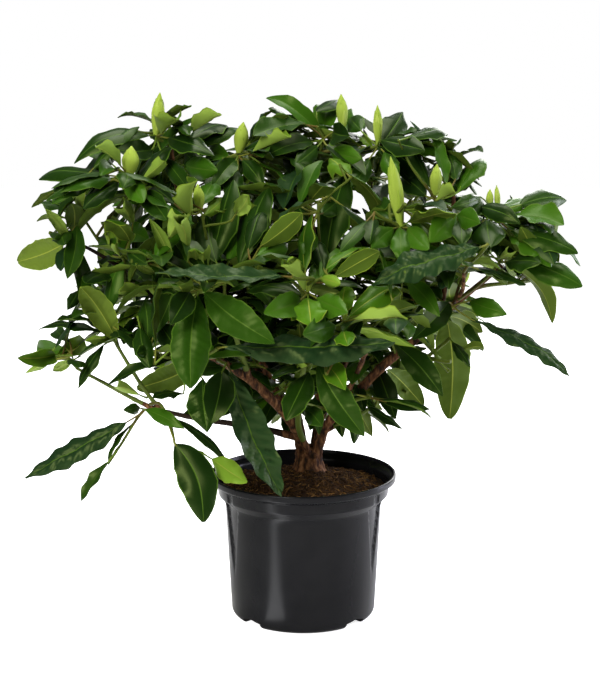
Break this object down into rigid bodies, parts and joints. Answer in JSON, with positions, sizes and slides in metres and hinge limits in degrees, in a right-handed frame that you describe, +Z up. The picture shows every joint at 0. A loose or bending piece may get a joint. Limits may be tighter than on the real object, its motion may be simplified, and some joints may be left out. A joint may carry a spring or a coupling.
{
  "type": "potted rhododendron",
  "caption": "Bushy evergreen rhododendron with whorled leathery leaves and closed flower buds, in a round black nursery pot.",
  "frame": {"origin": "middle of the pot's flat underside, where it stands", "axes": "+Z up; -Y is the front that the picture shows; +X to the right in that view"},
  "size_m": [0.676, 0.538, 0.644],
  "materials": {
    "pot_plastic": "satin",
    "soil": "matte",
    "bark": "matte",
    "young_stem": "satin",
    "leaves": "satin",
    "buds": "satin"
  },
  "bodies": {
    "root": {"pot": "pot_plastic", "soil": "soil", "trunk": "bark", "bough_left": "bark", "bough_centre": "bark", "bough_right": "bark", "bough_middle": "bark", "bough_back": "bark", "limb_top_left": "young_stem", "limb_low_left": "young_stem", "limb_far_left": "young_stem", "limb_left_shoot": "young_stem", "limb_left_tip": "young_stem", "stalk_hanging_leaf": "young_stem", "limb_left_front": "young_stem", "limb_right_top": "young_stem", "limb_right_front": "young_stem", "limb_right_low": "young_stem", "limb_front_right": "young_stem", "limb_back_right": "young_stem", "limb_back_left": "young_stem", "leaves_far_left": "leaves", "leaves_left_top": "leaves", "leaves_top_left": "leaves", "leaves_top_middle_left": "leaves", "leaves_top_middle": "leaves", "leaves_top_right": "leaves", "leaves_right_top": "leaves", "leaves_far_right_top": "leaves", "leaves_far_right": "leaves", "leaves_right_front": "leaves", "leaves_right_middle": "leaves", "leaves_centre_top": "leaves", "leaves_centre": "leaves", "leaves_front_right": "leaves", "leaves_left_centre": "leaves", "leaves_left_front": "leaves", "leaves_left_middle": "leaves", "leaves_left_low_upper": "leaves", "leaves_left_low": "leaves", "leaves_left_inner": "leaves", "leaf_pad_low_left": "leaves", "leaf_pad_hanging": "leaves", "leaf_pad_over_rim": "leaves", "leaves_front_low": "leaves", "leaves_right_low": "leaves", "leaves_right_tail": "leaves", "leaves_right_inner": "leaves", "leaves_front_inner": "leaves", "leaves_crown_middle": "leaves", "leaves_crown_right": "leaves", "leaves_back_top": "leaves", "leaves_back_left": "leaves", "leaves_back_left_low": "leaves", "leaves_back_middle": "leaves", "leaves_back_right": "leaves", "leaves_back_far_right": "leaves", "leaves_back_right_low": "leaves", "leaves_back_low": "leaves", "leaves_back_left_foot": "leaves"}
  },
  "joints": []
}
